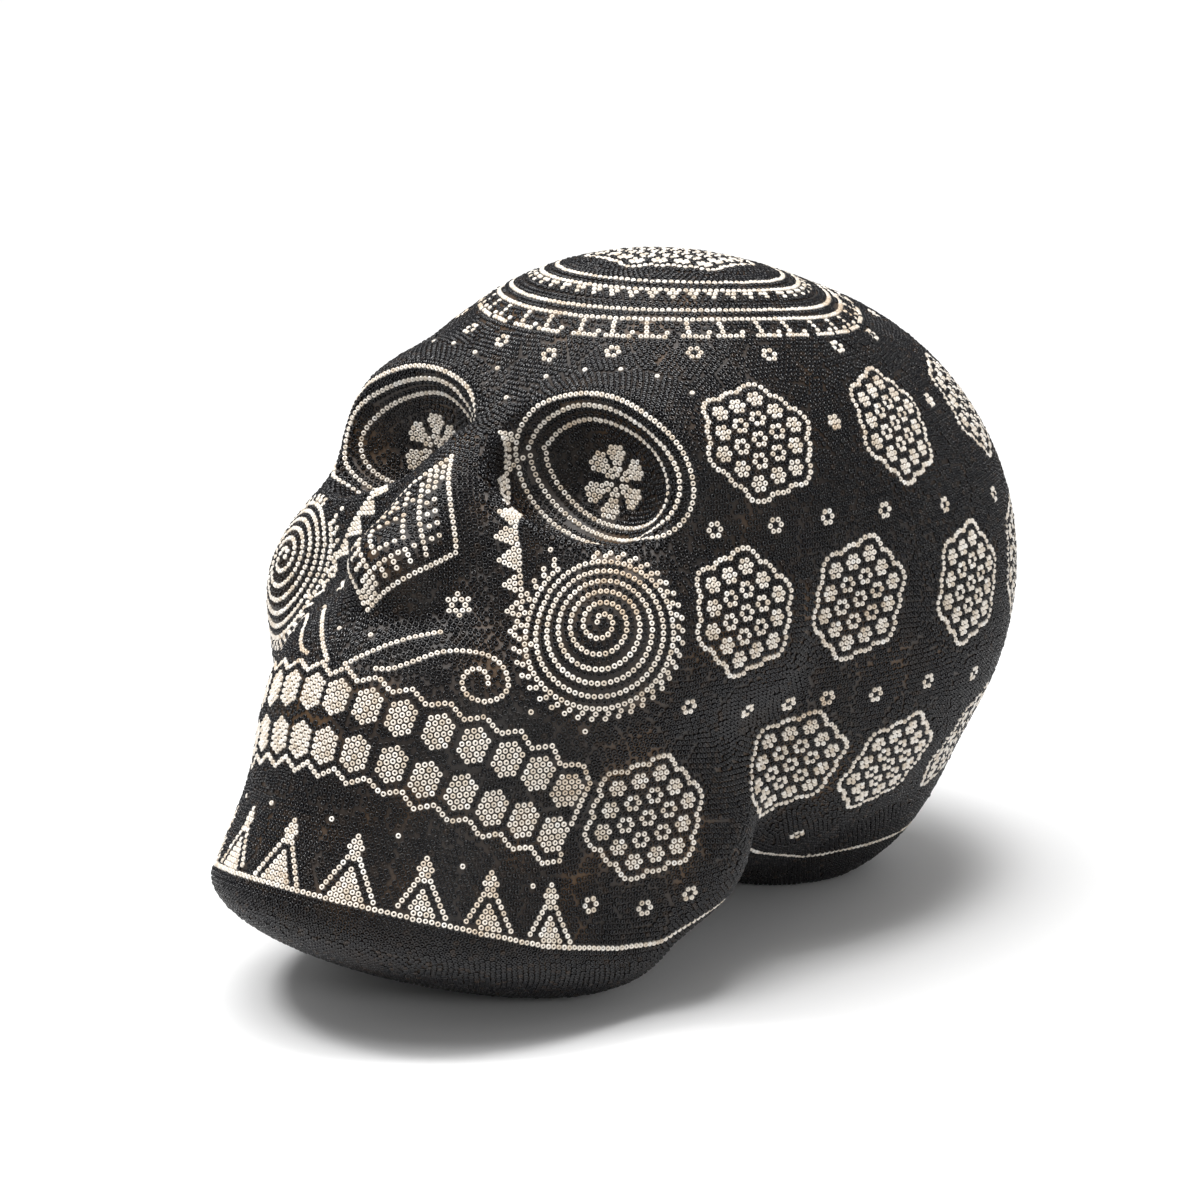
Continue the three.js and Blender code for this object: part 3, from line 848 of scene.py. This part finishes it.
def black_glass():
    m = Nodes("black_glass_beads", Roughness=0.11, IOR=1.52, Specular_IOR_Level=0.34)
    each = m.add("NewGeometry").outputs["Random Per Island"]
    tint = m.ramp(each, [(0.0, (0.004, 0.004, 0.006)), (0.5, (0.008, 0.008, 0.009)),
                         (0.9, (0.014, 0.012, 0.012)), (1.0, (0.03, 0.02, 0.014))])
    film = m.ramp(m.noise(18.0), [(0.55, (0.006, 0.006, 0.008)), (0.75, (0.03, 0.018, 0.009))])
    patch = m.ramp(m.noise(31.0), [(0.5, (0, 0, 0)), (0.7, (0.7, 0.7, 0.7))])
    m.to("Base Color", m.mix(patch, tint, film))
    return m.material


def beeswax():
    m = Nodes("beeswax_with_painted_shade", Roughness=0.5, IOR=1.44)
    # Noise between near-black and honey brown. The near-black is partly the wax's own dark brown and
    # partly painted shade in the gaps between the beads; the honey patches are wax stains.
    wax_tone_and_painted_shade = m.ramp(m.noise(40.0, 6.0), [(0.3, (0.008, 0.006, 0.005)), (0.55, (0.02, 0.012, 0.007)),
                                       (0.75, (0.09, 0.048, 0.018))])
    m.to("Base Color", wax_tone_and_painted_shade)
    bump = m.add("Bump", Height=m.noise(900.0, 2.0), Strength=0.4, Distance=0.0003)
    m.to("Normal", bump.outputs["Normal"])
    return m.material


def cast_resin():
    m = Nodes("cast_resin", Roughness=0.7)
    m.to("Base Color", m.ramp(m.noise(60.0, 5.0), [(0.3, (0.42, 0.37, 0.28)),
                                                    (0.7, (0.58, 0.53, 0.43))]))
    return m.material


# ---- building ------------------------------------------------------------------------------
def place_motifs():
    for motif in (teeth, diamond, eye, spiral, ribbon, moustache, base_line, crown,
                  side_rosettes, small_flowers):
        motif()
    return unclashed(laid, 1.72)


def fill_ground(groups):
    """The motif beads, eased among their neighbours, and the black beads of the ground."""
    fixed = np.vstack([points for _, _, points in groups])
    points = grow(fixed, FILL_PITCH * 0.93, FILL_PITCH * 1.3)
    points = grow(points, FILL_PITCH * 0.85, FILL_PITCH * 1.9)
    weight = np.ones(len(points))
    weight[:len(fixed)] = 0.12
    return relax(points, weight, 10), len(fixed)


def base_height(points):
    ys, zs = np.array(BASE_LINE, float).T
    return np.interp(points[:, 1], ys, zs)


def in_bowl(points, side):
    """True for the places inside the rings of that side's eye."""
    x, y, z = points.T
    return (((side * x - 48) / 31) ** 2 + ((z - 199) / 21) ** 2 < 1) & (y < -30)


def gather(groups, points, fixed):
    """Every bead's place by the node it belongs to and by colour."""
    fields = {}
    start = 0
    for node, colour, group in groups:
        fields.setdefault((node, colour), []).append(points[start:start + len(group)])
        start += len(group)
    ground = points[fixed:]
    vent = np.hypot(ground[:, 0], ground[:, 1] - VENT_Y) < VENT_RADIUS + 1
    ground = ground[~(vent & (ground[:, 2] < 80))]
    under = ground[:, 2] < base_height(ground)
    fields.setdefault(("ground_under", "black"), []).append(ground[under])
    ground = ground[~under]
    for side, tag in ((1, "left"), (-1, "right")):
        mine = in_bowl(ground, side)
        fields[(f"eye_bowl_{tag}", "black")] = [ground[mine]]
        ground = ground[~mine]
    fields.setdefault(("ground_upper", "black"), []).append(ground)
    return {key: np.vstack(parts) for key, parts in fields.items()}


def build_beads(fields):
    looks = {
        "ivory": (bead_shape(IVORY_BEAD, 10), 0.99, 0.05, ivory_glass(), "ivory_beads"),
        "black": (bead_shape(BLACK_BEAD, 8), 1.05, 0.09, black_glass(), "black_beads"),
    }
    for (node, colour), points in fields.items():
        shape, size, tilt, material, slot = looks[colour]
        parts = split(points, MAX_BEADS[colour])
        for k, part in enumerate(parts):
            tail = f"_{k + 1:02d}" if len(parts) > 1 else ""
            obj = bead_field(f"{node}_beads{tail}", part, shape, size, tilt, material)
            ride(obj, slot, "ground_upper" if node == "small_flowers" else node)


def light(name, place, aim, size, power, colour=(1, 1, 1)):
    data = bpy.data.lights.new(name, "AREA")
    data.shape = "RECTANGLE"
    data.size, data.size_y = size
    data.energy = power
    data.color = colour
    obj = bpy.data.objects.new(name, data)
    bpy.context.scene.collection.objects.link(obj)
    obj.location = place
    obj.rotation_euler = direction(np.array(aim, float) - place).to_euler()


def direction(v):
    return Vector(v).to_track_quat("-Z", "Y")


def studio():
    floor = Nodes("pale_floor", Roughness=0.6)
    floor.to("Base Color", floor.ramp(floor.noise(3.0), [(0.3, (0.86, 0.86, 0.86)),
                                                          (0.7, (0.88, 0.88, 0.88))]))
    verts = np.array([(-9, -9, 0), (9, -9, 0), (9, 9, 0), (-9, 9, 0)], float)
    mesh_object("floor", verts, np.array([[0, 1, 2, 3]]), floor.material, False)
    world = bpy.data.worlds.new("studio")
    world.use_nodes = True
    world.node_tree.nodes["Background"].inputs["Color"].default_value = (1, 1, 1, 1)
    world.node_tree.nodes["Background"].inputs["Strength"].default_value = 0.38
    bpy.context.scene.world = world
    light("key", (-0.5, -0.7, 1.4), (0, 0, 0.12), (0.3, 0.3), 9)
    light("top", (0.3, -0.1, 1.7), (0, 0, 0.1), (0.4, 0.4), 9)
    light("side", (1.5, -0.8, 0.7), (0, 0, 0.12), (0.3, 0.3), 4)
    data = bpy.data.lights.new("sky", "SUN")
    data.energy = 2.75
    data.angle = math.radians(48)
    obj = bpy.data.objects.new("sky", data)
    bpy.context.scene.collection.objects.link(obj)
    obj.rotation_euler = (math.radians(10), math.radians(-6), 0)


def camera():
    turn, tilt, away = math.radians(40), math.radians(14.1), 1.526
    back = np.array([math.sin(turn) * math.cos(tilt), -math.cos(turn) * math.cos(tilt),
                     math.sin(tilt)])
    target = in_frame(np.array([0, 0, 133.5]))
    data = bpy.data.cameras.new("camera")
    data.sensor_width = 36
    data.lens = 119.0
    data.clip_end = 60
    obj = bpy.data.objects.new("camera", data)
    bpy.context.scene.collection.objects.link(obj)
    obj.location = target + back * away
    obj.rotation_euler = direction(-back).to_euler()
    bpy.context.scene.camera = obj


bpy.context.scene.view_settings.view_transform = "Standard"
camera()
studio()
groups = place_motifs()
points, fixed = fill_ground(groups)
build_beads(gather(groups, points, fixed))
ride(shell("wax_skin_surface", 2.6, WAX_DEPTH, WAX_DEPTH + WAX, beeswax()), "beeswax", "wax_skin")
ride(shell("cast_form_wall", 5.0, CAST_DEPTH, CAST_DEPTH + CAST_WALL, cast_resin()), "cast_resin",
     "cast_form")

bpy.context.view_layer.update()
